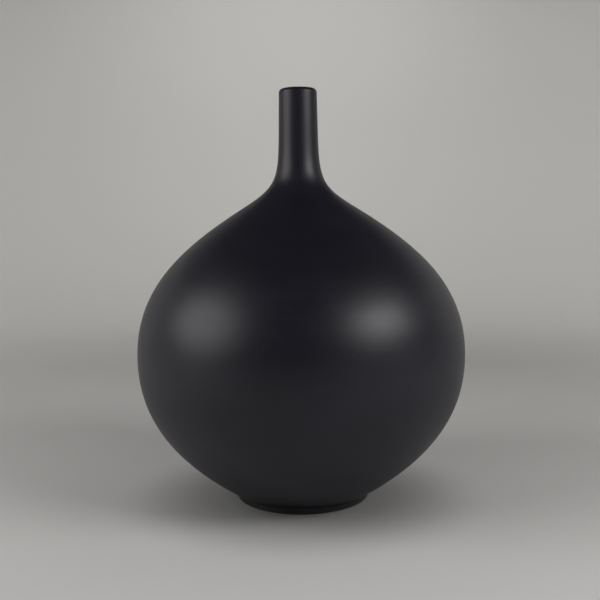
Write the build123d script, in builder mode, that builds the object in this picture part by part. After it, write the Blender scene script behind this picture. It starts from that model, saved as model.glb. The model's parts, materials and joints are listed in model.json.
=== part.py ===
"""A round-bellied bottle vase of black clay, as the clay members that a potter lutes together.

The pot stands on the XY plane with its axis on Z, and is 300 mm tall and 240 mm across.
Every member is a solid of revolution. Its outline is drawn on Plane.XZ as (radius, height).
Neighbours meet face to face at scored and slipped joints: a bevel, V tongues, a rebate and a key.
"""

import os
from math import cos, radians, sin

from build123d import *

# ---------------------------------------------------------------- driving dimensions, mm and degrees

HEIGHT = 300.0
BELLY_RADIUS = 120.0
BELLY_HEIGHT = 108.0  # height of the widest circle, where the two bowls meet
WALL = 6.5  # at the belly

FOOT_RADIUS = 49.2
FOOT_WIDTH = 10.7
FOOT_HEIGHT = 5.5
FOOT_TAPER = 0.6  # the foot ring narrows this much down to the ground
FOOT_ROUNDING = 1.2

LEDGE = 1.6  # the body overhangs the foot ring by this much all round
FLOOR = 7.5  # thickness of the base slab
FLOOR_RADIUS = 48.0  # where the flat floor inside turns up into the wall
BASE_SLOPE = 32.0  # how steeply the wall leaves the base, outside
FLOOR_SLOPE = 35.0  # and inside

SHOULDER_RADIUS = 40.4  # where the convex shoulder turns into the concave neck root
SHOULDER_HEIGHT = 215.0
SHOULDER_SLOPE = 31.9
SHOULDER_WALL = 6.0

NECK_RADIUS = 14.2  # where the neck root ends and the straight taper starts
NECK_HEIGHT = 272.0
NECK_TAPER = 0.017  # loss of radius per millimetre of height
BORE_RADIUS = 9.5
BORE_BOTTOM = 250.0

LIP_SEAM = 290.0
LIP_OUTER_ROUNDING = 3.1

# How far the wall's curves run towards their tangents at each end: the lengths of Bezier handles.
BASE_REACH = 59.0
BELLY_REACH_DOWN = 40.0
BELLY_REACH_UP = 51.0
SHOULDER_REACH = 51.7
ROOT_REACH = 28.6
NECK_REACH = 37.5
INNER_BASE_REACH = 54.0
INNER_BELLY_REACH_DOWN = 38.0
INNER_BELLY_REACH_UP = 48.0
INNER_SHOULDER_REACH = 49.5
BORE_REACH = 22.0

# ---------------------------------------------------------------- joints and seam coils

BEVEL_OUTER_RADIUS = 46.0  # the slab's bevelled edge, at its underside
BEVEL_INNER_RADIUS = 40.5  # and at its top
KEY_RADIUS = 42.0  # mid circle of the foot ring's key
KEY_WIDTH = 3.0
KEY_HEIGHT = 1.5
BELLY_TONGUE = 3.0
LIP_TONGUE = 1.8
REBATE = 3.4

COIL_RISE = 3.0  # how far a smoothed coil stands proud of the wall
BASE_COIL_RADIUS = 21.0
BASE_COIL_CENTRE = (45.0, -5.0)
BELLY_COIL_RADIUS = 29.5
SHOULDER_COIL_RADIUS = 22.0


def step(point, distance, angle):
    """The point that lies distance away from another, at an angle above the outward radius."""
    radius, height = point
    return (radius + distance * cos(radians(angle)), height + distance * sin(radians(angle)))


def neck_side(height):
    """The outer radius of the tapering neck at a height."""
    return NECK_RADIUS - NECK_TAPER * (height - NECK_HEIGHT)


# ---------------------------------------------------------------- outlines of the whole wall

# Outside, upwards: base edge, belly, shoulder, top of the neck root.
base_edge = (FOOT_RADIUS + LEDGE, FOOT_HEIGHT)
belly = (BELLY_RADIUS, BELLY_HEIGHT)
shoulder = (SHOULDER_RADIUS, SHOULDER_HEIGHT)
neck = (NECK_RADIUS, NECK_HEIGHT)

outer_lower = [
    base_edge,
    step(base_edge, BASE_REACH, BASE_SLOPE),
    (BELLY_RADIUS, BELLY_HEIGHT - BELLY_REACH_DOWN),
    belly,
]
outer_upper = [
    belly,
    (BELLY_RADIUS, BELLY_HEIGHT + BELLY_REACH_UP),
    step(shoulder, SHOULDER_REACH, -SHOULDER_SLOPE),
    shoulder,
]
outer_root = [
    shoulder,
    step(shoulder, ROOT_REACH, 180 - SHOULDER_SLOPE),
    (neck_side(NECK_HEIGHT - NECK_REACH), NECK_HEIGHT - NECK_REACH),
    neck,
]

# Inside, upwards: corner of the floor, belly, shoulder, bottom of the straight bore.
floor_height = FOOT_HEIGHT + FLOOR
floor_corner = (FLOOR_RADIUS, floor_height)
inner_belly = (BELLY_RADIUS - WALL, BELLY_HEIGHT)
inner_shoulder = step(shoulder, -SHOULDER_WALL, 90 - SHOULDER_SLOPE)
bore_bottom = (BORE_RADIUS, BORE_BOTTOM)

inner_lower = [
    floor_corner,
    step(floor_corner, INNER_BASE_REACH, FLOOR_SLOPE),
    (inner_belly[0], BELLY_HEIGHT - INNER_BELLY_REACH_DOWN),
    inner_belly,
]
inner_upper = [
    inner_belly,
    (inner_belly[0], BELLY_HEIGHT + INNER_BELLY_REACH_UP),
    step(inner_shoulder, INNER_SHOULDER_REACH, -SHOULDER_SLOPE),
    inner_shoulder,
]
inner_root = [
    inner_shoulder,
    step(inner_shoulder, ROOT_REACH, 180 - SHOULDER_SLOPE),
    (BORE_RADIUS, BORE_BOTTOM - BORE_REACH),
    bore_bottom,
]

# Joint lines, each from the inside of the wall to the outside.
slab_bevel = [(BEVEL_INNER_RADIUS, floor_height), (BEVEL_OUTER_RADIUS, FOOT_HEIGHT)]
belly_joint = [
    inner_belly,
    (BELLY_RADIUS - WALL / 2, BELLY_HEIGHT - BELLY_TONGUE),
    belly,
]
shoulder_joint = [
    inner_shoulder,
    (SHOULDER_RADIUS, SHOULDER_HEIGHT - REBATE),
    shoulder,
]
lip_joint = [
    (BORE_RADIUS, LIP_SEAM),
    ((BORE_RADIUS + neck_side(LIP_SEAM)) / 2, LIP_SEAM - LIP_TONGUE),
    (neck_side(LIP_SEAM), LIP_SEAM),
]
key_top = FOOT_HEIGHT + KEY_HEIGHT
key_line = [
    (KEY_RADIUS - KEY_WIDTH / 2, FOOT_HEIGHT),
    (KEY_RADIUS - KEY_WIDTH / 2, key_top),
    (KEY_RADIUS + KEY_WIDTH / 2, key_top),
    (KEY_RADIUS + KEY_WIDTH / 2, FOOT_HEIGHT),
]

# ---------------------------------------------------------------- base

# A coil turned to a ring, keyed into a groove scored under the slab.
foot_inner_radius = FOOT_RADIUS - FOOT_WIDTH
foot_top_inside = (foot_inner_radius, FOOT_HEIGHT)
foot_top_outside = (FOOT_RADIUS, FOOT_HEIGHT)
with BuildPart() as foot_ring:
    with BuildSketch(Plane.XZ) as foot_profile:
        with BuildLine():
            Polyline(
                foot_top_inside,
                (foot_inner_radius + FOOT_TAPER, 0.0),
                (FOOT_RADIUS - FOOT_TAPER, 0.0),
                foot_top_outside,
            )
            Polyline(foot_top_outside, *reversed(key_line), foot_top_inside)
        make_face()
        fillet(foot_profile.vertices().group_by(Axis.Y)[0], FOOT_ROUNDING)
    revolve(axis=Axis.Z)
foot_ring.part.label = "foot_ring"

# The flat slab that the pot is started on. The first course laps over its bevelled edge.
with BuildPart() as base_slab:
    with BuildSketch(Plane.XZ):
        with BuildLine():
            Polyline(
                (0.0, FOOT_HEIGHT),
                *key_line,
                *reversed(slab_bevel),
                (0.0, floor_height),
                close=True,
            )
        make_face()
    revolve(axis=Axis.Z)
base_slab.part.label = "base_slab"

# ---------------------------------------------------------------- body

# The bowl below the belly, with a V groove around its rim.
with BuildPart() as lower_bowl:
    with BuildSketch(Plane.XZ):
        with BuildLine():
            Bezier(*outer_lower)
            Polyline(*belly_joint)
            Bezier(*inner_lower)
            Polyline(floor_corner, *slab_bevel, base_edge)
        make_face()
    revolve(axis=Axis.Z)
lower_bowl.part.label = "lower_bowl"

# The domed bowl above it, with the V tongue, and a rebated opening for the neck.
with BuildPart() as upper_bowl:
    with BuildSketch(Plane.XZ):
        with BuildLine():
            Bezier(*outer_upper)
            Polyline(*shoulder_joint)
            Bezier(*inner_upper)
            Polyline(*belly_joint)
        make_face()
    revolve(axis=Axis.Z)
upper_bowl.part.label = "upper_bowl"

# ---------------------------------------------------------------- neck

# A trumpet-shaped neck that seats in the rebate, with the straight bore inside.
with BuildPart() as neck_tube:
    with BuildSketch(Plane.XZ):
        with BuildLine():
            Bezier(*outer_root)
            Line(neck, lip_joint[-1])
            Polyline(*lip_joint)
            Line(lip_joint[0], bore_bottom)
            Bezier(*inner_root)
            Polyline(*shoulder_joint)
        make_face()
    revolve(axis=Axis.Z)
neck_tube.part.label = "neck_tube"

# The last coil, rounded over with wet leather: a large radius outside and a small one inside.
lip_side = (neck_side(HEIGHT - LIP_OUTER_ROUNDING), HEIGHT - LIP_OUTER_ROUNDING)
lip_top = (lip_side[0] - LIP_OUTER_ROUNDING, HEIGHT)
lip_inner_rounding = lip_top[0] - BORE_RADIUS
lip_inside = (BORE_RADIUS, HEIGHT - lip_inner_rounding)
with BuildPart() as lip:
    with BuildSketch(Plane.XZ):
        with BuildLine():
            Line(lip_joint[-1], lip_side)
            RadiusArc(lip_side, lip_top, -LIP_OUTER_ROUNDING)
            RadiusArc(lip_top, lip_inside, -lip_inner_rounding)
            Line(lip_inside, lip_joint[0])
            Polyline(*lip_joint)
        make_face()
    revolve(axis=Axis.Z)
lip.part.label = "lip"

# ---------------------------------------------------------------- seam coils inside

# The whole hollow of the pot, below the straight bore.
with BuildSketch(Plane.XZ) as cavity:
    with BuildLine():
        Bezier(*inner_lower)
        Bezier(*inner_upper)
        Bezier(*inner_root)
        Polyline(bore_bottom, (0.0, BORE_BOTTOM), (0.0, floor_height), floor_corner)
    make_face()

# Each coil is what a large circle behind the wall takes out of the hollow: a low smooth band.
belly_coil_centre = (inner_belly[0] + BELLY_COIL_RADIUS - COIL_RISE, BELLY_HEIGHT)
shoulder_coil_centre = step(inner_shoulder, SHOULDER_COIL_RADIUS - COIL_RISE, 90 - SHOULDER_SLOPE)
coil_circles = {
    "base_seam_coil": (BASE_COIL_CENTRE, BASE_COIL_RADIUS),
    "belly_seam_coil": (belly_coil_centre, BELLY_COIL_RADIUS),
    "shoulder_seam_coil": (shoulder_coil_centre, SHOULDER_COIL_RADIUS),
}
seam_coils = []
for coil_name, (centre, radius) in coil_circles.items():
    with BuildPart() as seam_coil:
        with BuildSketch(Plane.XZ):
            with Locations(centre):
                Circle(radius)
            add(cavity.sketch_local, mode=Mode.INTERSECT)
        revolve(axis=Axis.Z)
    seam_coil.part.label = coil_name
    seam_coils.append(seam_coil)

# ---------------------------------------------------------------- export

os.makedirs("parts", exist_ok=True)
for member in (foot_ring, base_slab, lower_bowl, upper_bowl, neck_tube, lip, *seam_coils):
    export_step(member.part, f"parts/{member.part.label}.step")
    print(member.part.label, "volume", round(member.part.volume), "mm3")
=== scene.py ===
"""The looks of a black clay bottle vase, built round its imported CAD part.

Each of the nine clay members is a closed surface of revolution on the outline that the CAD uses,
with the slight relief that a potter's hands leave. Lengths are in metres unless a name says MM.
"""

import json
from math import atan2, cos, hypot, pi, radians, sin
from typing import NamedTuple

import bpy
import numpy as np
from mathutils import Matrix, Vector


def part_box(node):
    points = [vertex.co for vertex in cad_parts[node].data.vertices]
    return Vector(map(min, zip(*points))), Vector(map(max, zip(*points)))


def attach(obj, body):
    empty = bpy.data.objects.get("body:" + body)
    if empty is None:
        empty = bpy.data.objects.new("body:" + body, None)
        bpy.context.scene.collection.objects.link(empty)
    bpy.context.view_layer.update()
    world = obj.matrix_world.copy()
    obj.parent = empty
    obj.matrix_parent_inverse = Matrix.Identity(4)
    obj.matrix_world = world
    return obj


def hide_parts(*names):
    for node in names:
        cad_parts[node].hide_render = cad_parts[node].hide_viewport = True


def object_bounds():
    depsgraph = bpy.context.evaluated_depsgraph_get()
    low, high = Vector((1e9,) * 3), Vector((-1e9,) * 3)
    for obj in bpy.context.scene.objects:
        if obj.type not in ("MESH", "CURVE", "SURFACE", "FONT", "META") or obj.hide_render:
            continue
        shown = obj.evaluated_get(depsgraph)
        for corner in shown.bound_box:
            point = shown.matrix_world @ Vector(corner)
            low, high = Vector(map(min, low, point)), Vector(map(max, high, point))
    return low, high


MM = 0.001

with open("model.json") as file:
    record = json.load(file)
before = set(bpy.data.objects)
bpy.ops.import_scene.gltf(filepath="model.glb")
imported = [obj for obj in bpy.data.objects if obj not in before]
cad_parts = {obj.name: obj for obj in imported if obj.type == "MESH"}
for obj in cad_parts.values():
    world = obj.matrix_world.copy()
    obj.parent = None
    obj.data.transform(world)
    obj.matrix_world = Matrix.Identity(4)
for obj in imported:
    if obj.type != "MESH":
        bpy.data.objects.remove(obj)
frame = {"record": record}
cad_low, cad_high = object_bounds()

# ---------------------------------------------------------------- sizes that the CAD part gives

bore_mount = next(m for m in frame["record"]["mounts"] if m["name"] == "neck_bore")
HEIGHT = cad_high.z
BELLY_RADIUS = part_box("lower_bowl")[1].x
BELLY_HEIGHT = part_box("lower_bowl")[1].z
FOOT_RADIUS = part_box("foot_ring")[1].x
FOOT_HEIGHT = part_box("base_slab")[0].z
FLOOR_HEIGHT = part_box("base_slab")[1].z
BEVEL_OUTER_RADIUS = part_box("base_slab")[1].x
KEY_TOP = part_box("foot_ring")[1].z
SHOULDER_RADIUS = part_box("neck_tube")[1].x
SHOULDER_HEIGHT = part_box("upper_bowl")[1].z
LIP_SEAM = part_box("neck_tube")[1].z
BORE_RADIUS = bore_mount["dims"]["r_mm"] * MM

# ---------------------------------------------------------------- sizes that only the outline has

WALL = 6.5 * MM
SHOULDER_WALL = 6.0 * MM
LEDGE = 1.6 * MM  # the body overhangs the foot ring by this much
EDGE_ROUNDING = 0.8 * MM  # how far the body's lower edge is rubbed back, along both faces
FOOT_WIDTH = 10.7 * MM
FOOT_TAPER = 0.6 * MM
FOOT_ROUNDING = 1.2 * MM
FLOOR_RADIUS = 48.0 * MM
BEVEL_INNER_RADIUS = 40.5 * MM
KEY_RADIUS = 42.0 * MM
KEY_WIDTH = 3.0 * MM
BELLY_TONGUE = 3.0 * MM
LIP_TONGUE = 1.8 * MM
REBATE = 3.4 * MM
NECK_RADIUS = 14.2 * MM
NECK_HEIGHT = 272.0 * MM
NECK_TAPER = 0.017
BORE_BOTTOM = 250.0 * MM
LIP_OUTER_ROUNDING = 3.1 * MM
BASE_SLOPE = 32.0  # degrees above the outward radius
FLOOR_SLOPE = 35.0
SHOULDER_SLOPE = 31.9

BASE_REACH = 59.0 * MM  # lengths of the outline's Bezier handles
BELLY_REACH_DOWN = 40.0 * MM
BELLY_REACH_UP = 51.0 * MM
SHOULDER_REACH = 51.7 * MM
ROOT_REACH = 28.6 * MM
NECK_REACH = 37.5 * MM
INNER_BASE_REACH = 54.0 * MM
INNER_BELLY_REACH_DOWN = 38.0 * MM
INNER_BELLY_REACH_UP = 48.0 * MM
INNER_SHOULDER_REACH = 49.5 * MM
BORE_REACH = 22.0 * MM

COIL_RISE = 3.0 * MM
BASE_COIL_RADIUS = 21.0 * MM
BASE_COIL_CENTRE = (45.0 * MM, -5.0 * MM)
BELLY_COIL_RADIUS = 29.5 * MM
SHOULDER_COIL_RADIUS = 22.0 * MM

# ---------------------------------------------------------------- mesh density

SEGMENTS = 256  # round the axis
ROW_SPACING = 1.1 * MM
FINE_SPACING = 0.2 * MM  # next to a seam, so that both sides of it shade alike
SPACING_GROWTH = 1.35
SHARP_TURN = 25.0  # degrees; an outline that turns more than this has a crisp edge

BURNISHED, RAW = 0, 1  # each piece's two material slots

# ---------------------------------------------------------------- relief left by the hands

HAND_DEPTH = 0.22 * MM  # the outside lies at most this far inside the CAD surface
HAND_WAVES = (  # (turns round the axis, height of one wave, share)
    (1, 190 * MM, 0.30),
    (2, 150 * MM, 0.26),
    (3, 110 * MM, 0.20),
    (5, 90 * MM, 0.14),
    (8, 60 * MM, 0.06),
    (13, 34 * MM, 0.04),
)
FINGER_DEPTH = 0.40 * MM
FINGER_PITCH = 9.0 * MM
PRESS_DEPTH = 0.55 * MM
PRESS_SPACING = 13.0 * MM
TURNING_DEPTH = 0.16 * MM
TURNING_PITCH = 3.2 * MM

rng = np.random.default_rng(11)
hand_phases = rng.uniform(0, 2 * pi, len(HAND_WAVES))
angles = np.arange(SEGMENTS) * 2 * pi / SEGMENTS


def fade(value, start, end):
    """0 at start and 1 at end, smoothly, with value anywhere. start may be above end."""
    share = np.clip((value - start) / (end - start), 0, 1)
    return share * share * (3 - 2 * share)


def hand_relief(theta, radius, height):
    """Long shallow waves pressed into the outside, and none at the base edge."""
    total = np.zeros(np.broadcast(theta, height).shape)
    for (turns, length, share), phase in zip(HAND_WAVES, hand_phases):
        total += share * np.sin(turns * theta + 2 * pi * height / length + phase)
    depth = HAND_DEPTH * np.sqrt(radius / BELLY_RADIUS) * fade(height, 8 * MM, 24 * MM)
    return -depth * (0.5 + 0.5 * total)


def finger_relief(theta, radius, height):
    """A spiral of finger grooves up the inside, which stops below the straight bore."""
    shown = fade(height, 15 * MM, 24 * MM) * fade(height, 246 * MM, 228 * MM)
    groove = 0.5 - 0.5 * np.cos(2 * pi * height / FINGER_PITCH - theta)
    return -FINGER_DEPTH * shown * groove


def floor_relief(theta, radius, height):
    """The same spiral on the floor inside."""
    shown = fade(radius, 33 * MM, 28 * MM) * fade(radius, 0, 5 * MM)
    groove = 0.5 - 0.5 * np.cos(2 * pi * radius / FINGER_PITCH - theta)
    return -FINGER_DEPTH * shown * groove


def turning_relief(theta, radius, height):
    """Rings turned into the underside, inside the foot."""
    shown = fade(radius, 37.5 * MM, 35 * MM) * fade(radius, 0, 3 * MM)
    ring = 0.5 - 0.5 * np.cos(2 * pi * radius / TURNING_PITCH - theta)
    return -TURNING_DEPTH * shown * ring


def no_relief(theta, radius, height):
    """A face that is left as the CAD has it."""
    return np.zeros(np.broadcast(theta, height).shape)


# ---------------------------------------------------------------- outlines


def step(point, distance, angle):
    """The point that lies distance away from another, at an angle above the outward radius."""
    return (point[0] + distance * cos(radians(angle)), point[1] + distance * sin(radians(angle)))


def neck_side(height):
    """The outer radius of the tapering neck at a height."""
    return NECK_RADIUS - NECK_TAPER * (height - NECK_HEIGHT)


def stations(length, spacing=ROW_SPACING):
    """Distances along a run: fine steps at both ends, growing to the full spacing between."""
    steps = []
    size = FINE_SPACING
    while size < spacing and 2 * (sum(steps) + size) < length:
        steps.append(size)
        size *= SPACING_GROWTH
    ends = np.cumsum([0.0, *steps])
    middle = length - 2 * ends[-1]
    count = max(1, round(middle / spacing))
    inner = ends[-1] + middle * np.arange(count + 1) / count
    return np.concatenate([ends[:-1], inner, length - ends[:-1][::-1]])


def resample(dense, spacing=ROW_SPACING):
    """The same line with its points at the stations of its length."""
    dense = np.asarray(dense, float)
    travelled = np.concatenate([[0.0], np.cumsum(np.hypot(*np.diff(dense, axis=0).T))])
    places = stations(travelled[-1], spacing)
    return np.column_stack([np.interp(places, travelled, dense[:, axis]) for axis in (0, 1)])


def bezier(corners):
    """Many points along a cubic Bezier."""
    share = np.linspace(0, 1, 1500)[:, None]
    start, leave, arrive, end = np.asarray(corners, float)
    return (
        (1 - share) ** 3 * start
        + 3 * (1 - share) ** 2 * share * leave
        + 3 * (1 - share) * share**2 * arrive
        + share**3 * end
    )


def straight(*corners):
    """A line through its corners, with points at most one row apart, and every corner kept."""
    pieces = [np.asarray(corners[:1], float)]
    for start, end in zip(corners, corners[1:]):
        count = max(2, round(hypot(end[0] - start[0], end[1] - start[1]) / ROW_SPACING))
        pieces.append(np.linspace(start, end, count + 1)[1:])
    return np.concatenate(pieces)


def arc(centre, radius, first, last, count=14):
    """Points on a circle, between two angles in degrees above the outward radius."""
    turn = np.radians(np.linspace(first, last, count + 1))
    return np.column_stack([centre[0] + radius * np.cos(turn), centre[1] + radius * np.sin(turn)])


def rounded(before, corner, after, count=6):
    """A soft corner between two points that lie either side of it."""
    share = np.linspace(0, 1, count + 1)[:, None]
    before, corner, after = (np.asarray(p, float) for p in (before, corner, after))
    return (1 - share) ** 2 * before + 2 * (1 - share) * share * corner + share**2 * after


base_edge = (FOOT_RADIUS + LEDGE, FOOT_HEIGHT)
belly = (BELLY_RADIUS, BELLY_HEIGHT)
shoulder = (SHOULDER_RADIUS, SHOULDER_HEIGHT)
neck = (NECK_RADIUS, NECK_HEIGHT)
floor_corner = (FLOOR_RADIUS, FLOOR_HEIGHT)
inner_belly = (BELLY_RADIUS - WALL, BELLY_HEIGHT)
inner_shoulder = step(shoulder, -SHOULDER_WALL, 90 - SHOULDER_SLOPE)
bore_bottom = (BORE_RADIUS, BORE_BOTTOM)
lip_outside = (neck_side(LIP_SEAM), LIP_SEAM)
lip_inside = (BORE_RADIUS, LIP_SEAM)

outer_lower = bezier(
    [
        base_edge,
        step(base_edge, BASE_REACH, BASE_SLOPE),
        (BELLY_RADIUS, BELLY_HEIGHT - BELLY_REACH_DOWN),
        belly,
    ]
)
outer_upper = bezier(
    [
        belly,
        (BELLY_RADIUS, BELLY_HEIGHT + BELLY_REACH_UP),
        step(shoulder, SHOULDER_REACH, -SHOULDER_SLOPE),
        shoulder,
    ]
)
outer_root = bezier(
    [
        shoulder,
        step(shoulder, ROOT_REACH, 180 - SHOULDER_SLOPE),
        (neck_side(NECK_HEIGHT - NECK_REACH), NECK_HEIGHT - NECK_REACH),
        neck,
    ]
)
inner_lower = bezier(
    [
        floor_corner,
        step(floor_corner, INNER_BASE_REACH, FLOOR_SLOPE),
        (inner_belly[0], BELLY_HEIGHT - INNER_BELLY_REACH_DOWN),
        inner_belly,
    ]
)
inner_upper = bezier(
    [
        inner_belly,
        (inner_belly[0], BELLY_HEIGHT + INNER_BELLY_REACH_UP),
        step(inner_shoulder, INNER_SHOULDER_REACH, -SHOULDER_SLOPE),
        inner_shoulder,
    ]
)
inner_root = bezier(
    [
        inner_shoulder,
        step(inner_shoulder, ROOT_REACH, 180 - SHOULDER_SLOPE),
        (BORE_RADIUS, BORE_BOTTOM - BORE_REACH),
        bore_bottom,
    ]
)
outer_neck = np.concatenate([outer_root, [lip_outside]])

belly_joint = straight(belly, (BELLY_RADIUS - WALL / 2, BELLY_HEIGHT - BELLY_TONGUE), inner_belly)
shoulder_joint = straight(shoulder, (SHOULDER_RADIUS, SHOULDER_HEIGHT - REBATE), inner_shoulder)
lip_valley = ((BORE_RADIUS + lip_outside[0]) / 2, LIP_SEAM - LIP_TONGUE)
lip_joint = straight(lip_outside, lip_valley, lip_inside)

key_inner = KEY_RADIUS - KEY_WIDTH / 2
key_outer = KEY_RADIUS + KEY_WIDTH / 2
key_line = [
    (key_inner, FOOT_HEIGHT),
    (key_inner, KEY_TOP),
    (key_outer, KEY_TOP),
    (key_outer, FOOT_HEIGHT),
]
bevel_top = (BEVEL_INNER_RADIUS, FLOOR_HEIGHT)
bevel_bottom = (BEVEL_OUTER_RADIUS, FOOT_HEIGHT)

# ---------------------------------------------------------------- pieces


class Run(NamedTuple):
    """A stretch of an outline. One without relief lies in a joint, and follows the runs beside it."""

    points: np.ndarray
    skin: int
    relief: object = None


def outward(points):
    """The solid's outward normals along a run that has the solid on its left."""
    tangent = np.gradient(points, axis=0)
    tangent /= np.maximum(np.hypot(*tangent.T), 1e-12)[:, None]
    return np.column_stack([tangent[:, 1], -tangent[:, 0]])


def run_moves(runs, closed):
    """How far each point of each run moves, as (points, segments, 2)."""
    moves = []
    for run in runs:
        if run.relief is None:
            moves.append(None)
            continue
        radius, height = run.points[:, :1], run.points[:, 1:]
        amount = run.relief(angles[None, :], radius, height)
        moves.append(amount[:, :, None] * outward(run.points)[:, None, :])
    still = np.zeros((SEGMENTS, 2))
    for i, run in enumerate(runs):
        if run.relief is not None:
            continue
        before = moves[i - 1] if i > 0 or closed else None
        after = moves[(i + 1) % len(runs)] if i + 1 < len(runs) or closed else None
        start = still if before is None else before[-1]
        end = still if after is None else after[0]
        share = np.linspace(0, 1, len(run.points))[:, None, None]
        moves[i] = (1 - share) * start + share * end
    return moves


def crisp_rows(outline, closed):
    """The rows where the outline turns sharply."""
    ahead = np.roll(outline, -1, axis=0) - outline
    behind = outline - np.roll(outline, 1, axis=0)
    turn = np.arctan2(
        behind[:, 0] * ahead[:, 1] - behind[:, 1] * ahead[:, 0], (behind * ahead).sum(axis=1)
    )
    crisp = np.abs(np.degrees(turn)) > SHARP_TURN
    if not closed:
        crisp[[0, -1]] = False
    return crisp


def revolve(name, runs, node, closed=True):
    """Turns an outline round Z into a closed mesh that stands for a CAD node."""
    moves = run_moves(runs, closed)
    last = len(runs) - 1
    keep = [slice(None) if i == last and not closed else slice(None, -1) for i in range(last + 1)]
    outline = np.concatenate([run.points[k] for run, k in zip(runs, keep)])
    moved = outline[:, None, :] + np.concatenate([m[k] for m, k in zip(moves, keep)])
    skins = np.concatenate([np.full(len(run.points) - 1, run.skin) for run in runs])

    rows = len(outline)
    corners = np.stack(
        [moved[..., 0] * np.cos(angles), moved[..., 0] * np.sin(angles), moved[..., 1]], axis=-1
    )
    here = np.arange(SEGMENTS)
    ahead = (here + 1) % SEGMENTS
    points, numbers = [], []
    for row in range(rows):
        pole = outline[row, 0] < 1e-9
        first = len(points)
        points.extend([corners[row, 0] * (0, 0, 1)] if pole else corners[row])
        numbers.append(first + (0 * here if pole else here))
    faces, face_skins = [], []
    for row in range(rows if closed else rows - 1):
        low, high = numbers[row], numbers[(row + 1) % rows]
        if low[0] == low[-1]:
            ring = np.column_stack([low, high[ahead], high[here]])
        elif high[0] == high[-1]:
            ring = np.column_stack([low[here], low[ahead], high])
        else:
            ring = np.column_stack([low[here], low[ahead], high[ahead], high[here]])
        faces.extend(ring.tolist())
        face_skins.extend([int(skins[row])] * SEGMENTS)

    mesh = bpy.data.meshes.new(name)
    mesh.from_pydata([tuple(p) for p in points], [], faces)
    mesh.polygons.foreach_set("material_index", face_skins)
    mesh.polygons.foreach_set("use_smooth", [True] * len(faces))
    row_of = np.concatenate([np.full(len(set(n.tolist())), i) for i, n in enumerate(numbers)])
    ends = np.zeros(len(mesh.edges) * 2, int)
    mesh.edges.foreach_get("vertices", ends)
    edge_rows = row_of[ends.reshape(-1, 2)]
    sharp = (edge_rows[:, 0] == edge_rows[:, 1]) & crisp_rows(outline, closed)[edge_rows[:, 0]]
    mesh.edges.foreach_set("use_edge_sharp", sharp.tolist())
    mesh.validate()
    mesh.update()
    piece = bpy.data.objects.new(name, mesh)
    bpy.context.scene.collection.objects.link(piece)
    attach(piece, "root")
    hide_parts(node)
    return piece


def joint(*lines):
    """One run of joint faces through several lines, end to end."""
    kept = [np.asarray(lines[0], float)] + [np.asarray(line, float)[1:] for line in lines[1:]]
    return Run(np.concatenate(kept), RAW)


# The body's lower edge is rubbed soft, so the wall starts a little way up its curve.
travelled = np.concatenate([[0.0], np.cumsum(np.hypot(*np.diff(outer_lower, axis=0).T))])
wall_start = int(np.searchsorted(travelled, EDGE_ROUNDING))
ledge_end = (base_edge[0] - EDGE_ROUNDING, FOOT_HEIGHT)
soft_edge = rounded(ledge_end, base_edge, outer_lower[wall_start])

lower_bowl = revolve(
    "clay_lower_bowl",
    [
        Run(soft_edge, BURNISHED, no_relief),
        Run(resample(outer_lower[wall_start:]), BURNISHED, hand_relief),
        joint(belly_joint),
        Run(resample(inner_lower[::-1]), RAW, finger_relief),
        joint(straight(floor_corner, bevel_top, bevel_bottom, ledge_end)),
    ],
    "lower_bowl",
)
upper_bowl = revolve(
    "clay_upper_bowl",
    [
        Run(resample(outer_upper), BURNISHED, hand_relief),
        joint(shoulder_joint),
        Run(resample(inner_upper[::-1]), RAW, finger_relief),
        joint(belly_joint[::-1]),
    ],
    "upper_bowl",
)
neck_tube = revolve(
    "clay_neck_tube",
    [
        Run(resample(outer_neck), BURNISHED, hand_relief),
        joint(lip_joint),
        Run(resample(np.array([lip_inside, bore_bottom])), RAW, finger_relief),
        Run(resample(inner_root[::-1]), RAW, finger_relief),
        joint(shoulder_joint[::-1]),
    ],
    "neck_tube",
)

lip_shoulder = (neck_side(HEIGHT - LIP_OUTER_ROUNDING), HEIGHT - LIP_OUTER_ROUNDING)
lip_crown_radius = lip_shoulder[0] - LIP_OUTER_ROUNDING
lip_inner_rounding = lip_crown_radius - BORE_RADIUS
lip_outline = np.concatenate(
    [
        straight(lip_outside, lip_shoulder),
        arc((lip_crown_radius, lip_shoulder[1]), LIP_OUTER_ROUNDING, 0, 90)[1:],
        arc((lip_crown_radius, HEIGHT - lip_inner_rounding), lip_inner_rounding, 90, 180)[1:],
    ]
)
lip = revolve(
    "clay_lip",
    [
        Run(lip_outline, BURNISHED, hand_relief),
        Run(straight(tuple(lip_outline[-1]), lip_inside), RAW, no_relief),
        joint(lip_joint[::-1]),
    ],
    "lip",
)

foot_inner_radius = FOOT_RADIUS - FOOT_WIDTH
foot_bottom_inside = (foot_inner_radius + FOOT_TAPER, 0.0)
foot_bottom_outside = (FOOT_RADIUS - FOOT_TAPER, 0.0)
foot_outline = np.concatenate(
    [
        straight((foot_inner_radius, FOOT_HEIGHT), step(foot_bottom_inside, FOOT_ROUNDING, 96)),
        rounded(
            step(foot_bottom_inside, FOOT_ROUNDING, 96),
            foot_bottom_inside,
            step(foot_bottom_inside, FOOT_ROUNDING, 0),
        )[1:],
        straight(
            step(foot_bottom_inside, FOOT_ROUNDING, 0),
            step(foot_bottom_outside, -FOOT_ROUNDING, 0),
        )[1:],
        rounded(
            step(foot_bottom_outside, -FOOT_ROUNDING, 0),
            foot_bottom_outside,
            step(foot_bottom_outside, FOOT_ROUNDING, 84),
        )[1:],
        straight(step(foot_bottom_outside, FOOT_ROUNDING, 84), (FOOT_RADIUS, FOOT_HEIGHT))[1:],
    ]
)
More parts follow.
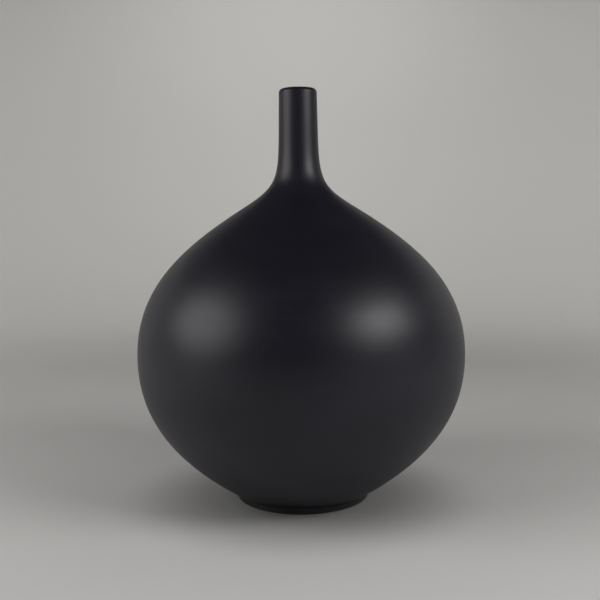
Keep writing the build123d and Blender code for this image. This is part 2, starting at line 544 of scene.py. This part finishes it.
foot_ring = revolve(
    "clay_foot_ring",
    [
        Run(foot_outline, BURNISHED, no_relief),
        joint(straight((FOOT_RADIUS, FOOT_HEIGHT), *key_line[::-1], (foot_inner_radius, FOOT_HEIGHT))),
    ],
    "foot_ring",
)
base_slab = revolve(
    "clay_base_slab",
    [
        Run(straight((0.0, FOOT_HEIGHT), key_line[0]), RAW, turning_relief),
        joint(straight(*key_line, bevel_bottom, bevel_top)),
        Run(straight(bevel_top, (0.0, FLOOR_HEIGHT)), RAW, floor_relief),
    ],
    "base_slab",
    closed=False,
)

# ---------------------------------------------------------------- seam coils inside

wall_inside = np.concatenate([straight((0.0, FLOOR_HEIGHT), floor_corner), inner_lower[1:]])
wall_inside = np.concatenate([wall_inside, inner_upper[1:], inner_root[1:]])


def circle_crossing(inside, beyond, centre, radius):
    """Where the short line between two points leaves a circle."""
    near = hypot(*(inside - centre))
    far = hypot(*(beyond - centre))
    return inside + (beyond - inside) * (radius - near) / (far - near)


def back_relief(theta, radius, height):
    """A coil's back, which fills the finger grooves that it lies on."""
    return -finger_relief(theta, radius, height)


def seam_coil(node, centre, radius):
    """The thin coil pressed over a seam: the wall behind it, and an arc with finger marks before it."""
    centre = np.asarray(centre, float)
    covered = np.flatnonzero(np.hypot(*(wall_inside - centre).T) < radius)
    first, last = covered[0], covered[-1]
    start = circle_crossing(wall_inside[first], wall_inside[first - 1], centre, radius)
    end = circle_crossing(wall_inside[last], wall_inside[last + 1], centre, radius)
    back = resample(np.concatenate([[start], wall_inside[first : last + 1], [end]]))
    leave = atan2(*(end - centre)[::-1])
    arrive = atan2(*(start - centre)[::-1])
    swing = (arrive - leave + pi) % (2 * pi) - pi
    turn = leave + swing * np.linspace(0, 1, max(12, round(abs(swing) * radius / ROW_SPACING)))
    front = centre + radius * np.column_stack([np.cos(turn), np.sin(turn)])
    front[0], front[-1] = end, start
    presses = round(2 * pi * abs(front[:, 0]).mean() / PRESS_SPACING)
    wander = rng.uniform(0, 2 * pi, 2)
    taper = np.sin(pi * np.linspace(0, 1, len(front)))[:, None] ** 2

    def press_relief(theta, ring, height):
        uneven = 0.5 * np.sin(3 * theta + wander[0]) + 0.4 * np.sin(7 * theta + wander[1])
        dent = (0.5 + 0.5 * np.cos(presses * theta + uneven)) ** 2
        return -PRESS_DEPTH * taper * dent

    return revolve(
        f"clay_{node}",
        [Run(back, RAW, back_relief), Run(front, RAW, press_relief)],
        node,
    )


coils = [
    seam_coil("base_seam_coil", BASE_COIL_CENTRE, BASE_COIL_RADIUS),
    seam_coil(
        "belly_seam_coil",
        (inner_belly[0] + BELLY_COIL_RADIUS - COIL_RISE, BELLY_HEIGHT),
        BELLY_COIL_RADIUS,
    ),
    seam_coil(
        "shoulder_seam_coil",
        step(inner_shoulder, SHOULDER_COIL_RADIUS - COIL_RISE, 90 - SHOULDER_SLOPE),
        SHOULDER_COIL_RADIUS,
    ),
]

# ---------------------------------------------------------------- materials


class Nodes:
    """A material's node tree, with short calls for the few kinds of node used here."""

    def __init__(self, name):
        self.material = bpy.data.materials.new(name)
        self.material.use_nodes = True
        self.tree = self.material.node_tree
        self.tree.nodes.clear()

    def plug(self, socket, value):
        """Sets a socket to a number or colour, or links an output to it."""
        if isinstance(value, bpy.types.NodeSocket):
            self.tree.links.new(value, socket)
        else:
            socket.default_value = value

    def add(self, kind, inputs, **settings):
        """A node with its settings made and its inputs plugged."""
        node = self.tree.nodes.new(kind)
        for key, value in settings.items():
            setattr(node, key, value)
        for key, value in inputs.items():
            self.plug(node.inputs[key], value)
        return node

    def math(self, operation, first, second=0.0):
        """The result of a Math node."""
        node = self.add("ShaderNodeMath", {0: first, 1: second}, operation=operation)
        return node.outputs[0]

    def spread(self, value, low, high, out_low=0.0, out_high=1.0):
        """Maps low..high to out_low..out_high, smoothly, and clamps outside it."""
        inputs = {"Value": value, "From Min": low, "From Max": high}
        inputs.update({"To Min": out_low, "To Max": out_high})
        node = self.add("ShaderNodeMapRange", inputs, interpolation_type="SMOOTHSTEP")
        return node.outputs["Result"]

    def noise(self, vector, scale, detail=3.0, roughness=0.55):
        """A noise between 0 and 1, with features about 1 / scale across."""
        inputs = {"Vector": vector, "Scale": scale, "Detail": detail, "Roughness": roughness}
        return self.add("ShaderNodeTexNoise", inputs).outputs[0]

    def stretched(self, vector, scale):
        """Coordinates scaled separately along X, Y and Z."""
        return self.add("ShaderNodeMapping", {"Vector": vector, "Scale": scale}).outputs[0]

    def mix(self, share, first, second):
        """A colour between two others."""
        node = self.tree.nodes.new("ShaderNodeMix")
        node.data_type = "RGBA"
        colours = [s for s in node.inputs if s.type == "RGBA"]
        self.plug(node.inputs[0], share)
        self.plug(colours[0], first)
        self.plug(colours[1], second)
        return next(s for s in node.outputs if s.type == "RGBA")

    def bump(self, height, distance, normal=None):
        """A normal bent by a height field whose full range is distance metres."""
        inputs = {"Height": height, "Distance": distance, "Strength": 1.0}
        if normal is not None:
            inputs["Normal"] = normal
        return self.add("ShaderNodeBump", inputs).outputs[0]

    def finish(self, colour, roughness, normal):
        """The clay shader and the material's output."""
        inputs = {"Base Color": colour, "Roughness": roughness, "Normal": normal, "IOR": CLAY_IOR}
        shader = self.add("ShaderNodeBsdfPrincipled", inputs)
        self.add("ShaderNodeOutputMaterial", {"Surface": shader.outputs[0]})
        return self.material


CLAY_IOR = 1.43
CLAY_ROUGHNESS = 0.385
RIDGE_HEIGHT = 0.0008 * MM  # of the burnishing strokes
GRAIN_HEIGHT = 0.009 * MM
PINHOLE_DEPTH = 0.10 * MM
BLACK_DEEP = (0.0080, 0.0070, 0.0126, 1)
BLACK_PALE = (0.0116, 0.0102, 0.0178, 1)
RUBBED_GREY = (0.040, 0.037, 0.036, 1)
RAW_DEEP = (0.0165, 0.0155, 0.0165, 1)
RAW_PALE = (0.0300, 0.0280, 0.0285, 1)
DUST = (0.075, 0.070, 0.066, 1)


def burnished_clay(name, deep, pale, wear_low=None):
    """Black clay rubbed with a stone along the pot's rings: satin, with faint strokes and pinholes.

    Its colour clouds between deep and pale, and it is rubbed grey below the height wear_low.
    """
    n = Nodes(name)
    place = n.add("ShaderNodeTexCoord", {}).outputs["Object"]
    wander = n.add("ShaderNodeTexNoise", {"Vector": place, "Scale": 45.0, "Detail": 2.0})
    shift_inputs = {0: wander.outputs["Color"], 1: (0.004,) * 3}
    shift = n.add("ShaderNodeVectorMath", shift_inputs, operation="MULTIPLY").outputs[0]
    bent = n.add("ShaderNodeVectorMath", {0: place, 1: shift}, operation="ADD").outputs[0]
    stroke_place = n.stretched(bent, (38.0, 38.0, 300.0))
    stroke = n.add("ShaderNodeTexVoronoi", {"Vector": stroke_place, "Scale": 1.0})
    stroke_tone = n.add("ShaderNodeSeparateColor", {0: stroke.outputs["Color"]}).outputs[0]
    ridge = n.spread(stroke.outputs["Distance"], 0.0, 0.9)
    cloud = n.noise(place, 20.0, 4.0)
    grain = n.noise(place, 1100.0, 3.0, 0.6)
    holes = n.add("ShaderNodeTexVoronoi", {"Vector": bent, "Scale": 170.0})
    chosen = n.add("ShaderNodeSeparateColor", {0: holes.outputs["Color"]}).outputs[1]
    pinhole = n.math(
        "MULTIPLY",
        n.spread(holes.outputs["Distance"], 0.10, 0.04),
        n.math("GREATER_THAN", chosen, 0.86),
    )

    tone = n.math("ADD", n.math("MULTIPLY", cloud, 0.9), n.math("MULTIPLY", stroke_tone, 0.1))
    colour = n.mix(n.spread(tone, 0.30, 0.72), deep, pale)
    colour = n.mix(n.math("MULTIPLY", pinhole, 0.5), colour, DUST)
    roughness = n.math("ADD", CLAY_ROUGHNESS, n.math("MULTIPLY", stroke_tone, 0.018))
    roughness = n.math("ADD", roughness, n.math("MULTIPLY", cloud, 0.05))
    if wear_low is not None:
        height = n.add("ShaderNodeSeparateXYZ", {0: place}).outputs["Z"]
        rubbed = n.math("MULTIPLY", n.spread(height, wear_low, 0.0), n.spread(grain, 0.35, 0.62))
        colour = n.mix(rubbed, colour, RUBBED_GREY)
        roughness = n.math("ADD", roughness, n.math("MULTIPLY", rubbed, 0.25))
    normal = n.bump(ridge, RIDGE_HEIGHT)
    normal = n.bump(grain, GRAIN_HEIGHT, normal)
    normal = n.bump(n.math("MULTIPLY", pinhole, -1.0), PINHOLE_DEPTH, normal)
    return n.finish(colour, roughness, normal)


def raw_clay(name):
    """Black clay that was wiped with wet fingers and never rubbed: matt, gritty and a little dusty."""
    n = Nodes(name)
    place = n.add("ShaderNodeTexCoord", {}).outputs["Object"]
    wiped = n.noise(n.stretched(place, (25.0, 25.0, 420.0)), 1.0, 3.0)
    cloud = n.noise(place, 28.0, 4.0)
    grit = n.noise(place, 750.0, 5.0, 0.7)
    speck = n.add("ShaderNodeTexVoronoi", {"Vector": place, "Scale": 420.0})
    grain = n.spread(speck.outputs["Distance"], 0.05, 0.30, 1.0, 0.0)
    colour = n.mix(n.spread(cloud, 0.32, 0.70), RAW_DEEP, RAW_PALE)
    colour = n.mix(n.spread(grit, 0.60, 0.80, 0.0, 0.45), colour, DUST)
    roughness = n.math("ADD", 0.70, n.math("MULTIPLY", grit, 0.18))
    normal = n.bump(wiped, 0.05 * MM)
    normal = n.bump(grit, 0.05 * MM, normal)
    normal = n.bump(grain, 0.03 * MM, normal)
    return n.finish(colour, roughness, normal)


body_clay = burnished_clay("burnished_black_clay", BLACK_DEEP, BLACK_PALE)
foot_clay = burnished_clay("rubbed_foot_clay", RAW_DEEP, RAW_PALE, wear_low=2.2 * MM)
inside_clay = raw_clay("raw_black_clay")
for piece in (lower_bowl, upper_bowl, neck_tube, lip, foot_ring, base_slab, *coils):
    outside = foot_clay if piece is foot_ring else body_clay
    piece.data.materials.append(outside)
    piece.data.materials.append(inside_clay)

# ---------------------------------------------------------------- floor, backdrop, light and camera

STAGE_HOLE = 46.0 * MM  # hidden under the foot, and lets light reach the underside
STAGE_FLAT = 0.90
STAGE_RADIUS = 1.30
STAGE_HEIGHT = 0.85
STAGE_SEGMENTS = 128
STAGE_PALE = (0.74, 0.73, 0.71, 1)
STAGE_PAINTED_SHADOW = (0.32, 0.315, 0.31, 1)  # painted contact shadow on the floor close round the foot
STAGE_FRONT = (0.78, 0.77, 0.76, 1)  # the floor in front of the pot
STAGE_PAINTED_SHADE_WALL = (0.10, 0.10, 0.10, 1)  # painted shade: the wall in front, and round to the sides, coloured deep grey for the pot to reflect


def stage_material():
    """Pale matt paper that is only there from its upper side.

    It has a painted contact shadow close round the foot, and painted shade high up in front, which the
    neck reflects.
    """
    n = Nodes("pale_paper")
    place = n.add("ShaderNodeTexCoord", {}).outputs["Object"]
    parts = n.add("ShaderNodeSeparateXYZ", {0: place}).outputs
    flat = n.add("ShaderNodeVectorMath", {0: place, 1: (1, 1, 0)}, operation="MULTIPLY").outputs[0]
    from_axis = n.add("ShaderNodeVectorMath", {0: flat}, operation="LENGTH").outputs["Value"]
    # painted contact shadow: the floor is coloured darker close round the foot, fading out by 145 mm
    # from the axis
    colour = n.mix(n.spread(from_axis, 52 * MM, 145 * MM), STAGE_PAINTED_SHADOW, STAGE_PALE)
    colour = n.mix(n.spread(parts["Y"], -230 * MM, -95 * MM, 1.0, 0.0), colour, STAGE_FRONT)
    raised = n.spread(parts["Z"], 0.02, 0.20)
    # painted shade: the wall is coloured deep grey high up in front and round to the sides, for the pot
    # to reflect
    painted_shade = n.math("MULTIPLY", raised, n.spread(parts["Y"], 0.0, 0.55, 1.0, 0.0))
    colour = n.mix(painted_shade, colour, STAGE_PAINTED_SHADE_WALL)
    paper = n.add("ShaderNodeBsdfDiffuse", {"Color": colour}).outputs[0]
    clear = n.add("ShaderNodeBsdfTransparent", {}).outputs[0]
    behind = n.add("ShaderNodeNewGeometry", {}).outputs["Backfacing"]
    shader = n.add("ShaderNodeMixShader", {0: behind, 1: paper, 2: clear})
    n.add("ShaderNodeOutputMaterial", {"Surface": shader.outputs[0]})
    return n.material


def make_stage():
    """A round floor that curves up into a low wall all round."""
    bend = STAGE_RADIUS - STAGE_FLAT
    curve = arc((STAGE_FLAT, bend), bend, -90, 0, 24)
    outline = [(STAGE_HOLE, 0.0), (0.3, 0.0), *map(tuple, curve), (STAGE_RADIUS, STAGE_HEIGHT)]
    turn = np.arange(STAGE_SEGMENTS) * 2 * pi / STAGE_SEGMENTS
    points = [(r * cos(t), r * sin(t), z) for r, z in outline for t in turn]
    faces = []
    for row in range(len(outline) - 1):
        for here in range(STAGE_SEGMENTS):
            ahead = (here + 1) % STAGE_SEGMENTS
            low, high = row * STAGE_SEGMENTS, (row + 1) * STAGE_SEGMENTS
            faces.append((low + here, high + here, high + ahead, low + ahead))
    mesh = bpy.data.meshes.new("stage")
    mesh.from_pydata(points, [], faces)
    mesh.polygons.foreach_set("use_smooth", [True] * len(faces))
    mesh.update()
    stage = bpy.data.objects.new("stage", mesh)
    stage.data.materials.append(stage_material())
    bpy.context.scene.collection.objects.link(stage)


LIGHT_TARGET = Vector((0, 0, 0.13))


def softbox(name, azimuth, elevation, distance, size, radiance, shape):
    """A soft lamp aimed at the pot. Azimuth is from the camera's side towards +X, in degrees."""
    around, above = radians(azimuth), radians(elevation)
    direction = Vector((sin(around) * cos(above), -cos(around) * cos(above), sin(above)))
    lamp = bpy.data.lights.new(name, "AREA")
    lamp.shape = shape
    lamp.size, lamp.size_y = size
    area = size[0] * size[1] * (pi / 4 if shape == "ELLIPSE" else 1)
    lamp.energy = radiance * pi * area
    holder = bpy.data.objects.new(name, lamp)
    holder.location = LIGHT_TARGET + direction * distance
    holder.rotation_euler = direction.to_track_quat("Z", "Y").to_euler()
    holder.visible_camera = False
    bpy.context.scene.collection.objects.link(holder)


def wall_wash(name, azimuth, radiance):
    """A lamp above the floor that lights only the wall behind it, at an azimuth as for a softbox."""
    around = radians(azimuth)
    outward_way = Vector((sin(around), -cos(around), 0))
    place = outward_way * WASH_RADIUS + Vector((0, 0, WASH_HEIGHT))
    aim = outward_way * STAGE_RADIUS + Vector((0, 0, WASH_AIM)) - place
    lamp = bpy.data.lights.new(name, "AREA")
    lamp.shape = "RECTANGLE"
    lamp.size, lamp.size_y = WASH_SIZE
    lamp.spread = radians(WASH_SPREAD)
    lamp.energy = radiance * pi * WASH_SIZE[0] * WASH_SIZE[1]
    holder = bpy.data.objects.new(name, lamp)
    holder.location = place
    holder.rotation_euler = (-aim).to_track_quat("Z", "Y").to_euler()
    holder.visible_camera = False
    bpy.context.scene.collection.objects.link(holder)


WASH_RADIUS = 0.70
WASH_HEIGHT = 1.00
WASH_AIM = 0.30  # height on the wall
WASH_SIZE = (0.60, 0.25)
WASH_SPREAD = 100.0  # degrees; narrow enough to leave the pot alone
WASHES = ((125, 1.7), (180, 1.7), (-125, 1.1))  # azimuth and radiance of each

make_stage()
softbox("right_softbox", 58, 28, 1.05, (0.60, 0.32), 8.4, "RECTANGLE")
softbox("right_core", 57, 25, 1.00, (0.26, 0.26), 2.2, "ELLIPSE")
softbox("left_softbox", -71, 24.5, 1.05, (0.86, 0.70), 3.75, "ELLIPSE")
for number, (azimuth, radiance) in enumerate(WASHES):
    wall_wash(f"wall_wash_{number}", azimuth, radiance)


def make_world(above, below):
    """A dim sky, with a brighter ground that only lights the underside through the stage's hole."""
    world = bpy.data.worlds.new("studio")
    world.use_nodes = True
    tree = world.node_tree
    place = tree.nodes.new("ShaderNodeTexCoord")
    parts = tree.nodes.new("ShaderNodeSeparateXYZ")
    level = tree.nodes.new("ShaderNodeMapRange")
    level.inputs["From Min"].default_value = -0.05
    level.inputs["From Max"].default_value = 0.05
    level.inputs["To Min"].default_value = below
    level.inputs["To Max"].default_value = above
    tree.links.new(place.outputs["Generated"], parts.inputs[0])
    tree.links.new(parts.outputs["Z"], level.inputs["Value"])
    tree.links.new(level.outputs["Result"], tree.nodes["Background"].inputs["Strength"])
    tree.nodes["Background"].inputs["Color"].default_value = (1, 1, 1, 1)
    return world


bpy.context.scene.world = make_world(above=0.04, below=0.6)
bpy.context.scene.view_settings.view_transform = "Standard"

CAMERA_PLACE = Vector((-0.00033, -0.65707, 0.2135))
CAMERA_PITCH = -5.813  # degrees
CAMERA_ROLL = -0.758
CAMERA_LENS = 53.629  # mm, on a 36 mm sensor

camera_data = bpy.data.cameras.new("camera")
camera_data.lens = CAMERA_LENS
camera = bpy.data.objects.new("camera", camera_data)
aim = Matrix.Rotation(radians(90 + CAMERA_PITCH), 4, "X") @ Matrix.Rotation(radians(CAMERA_ROLL), 4, "Z")
camera.matrix_world = Matrix.Translation(CAMERA_PLACE) @ aim
bpy.context.scene.collection.objects.link(camera)
bpy.context.scene.camera = camera

# ---------------------------------------------------------------- the end

bpy.context.view_layer.update()
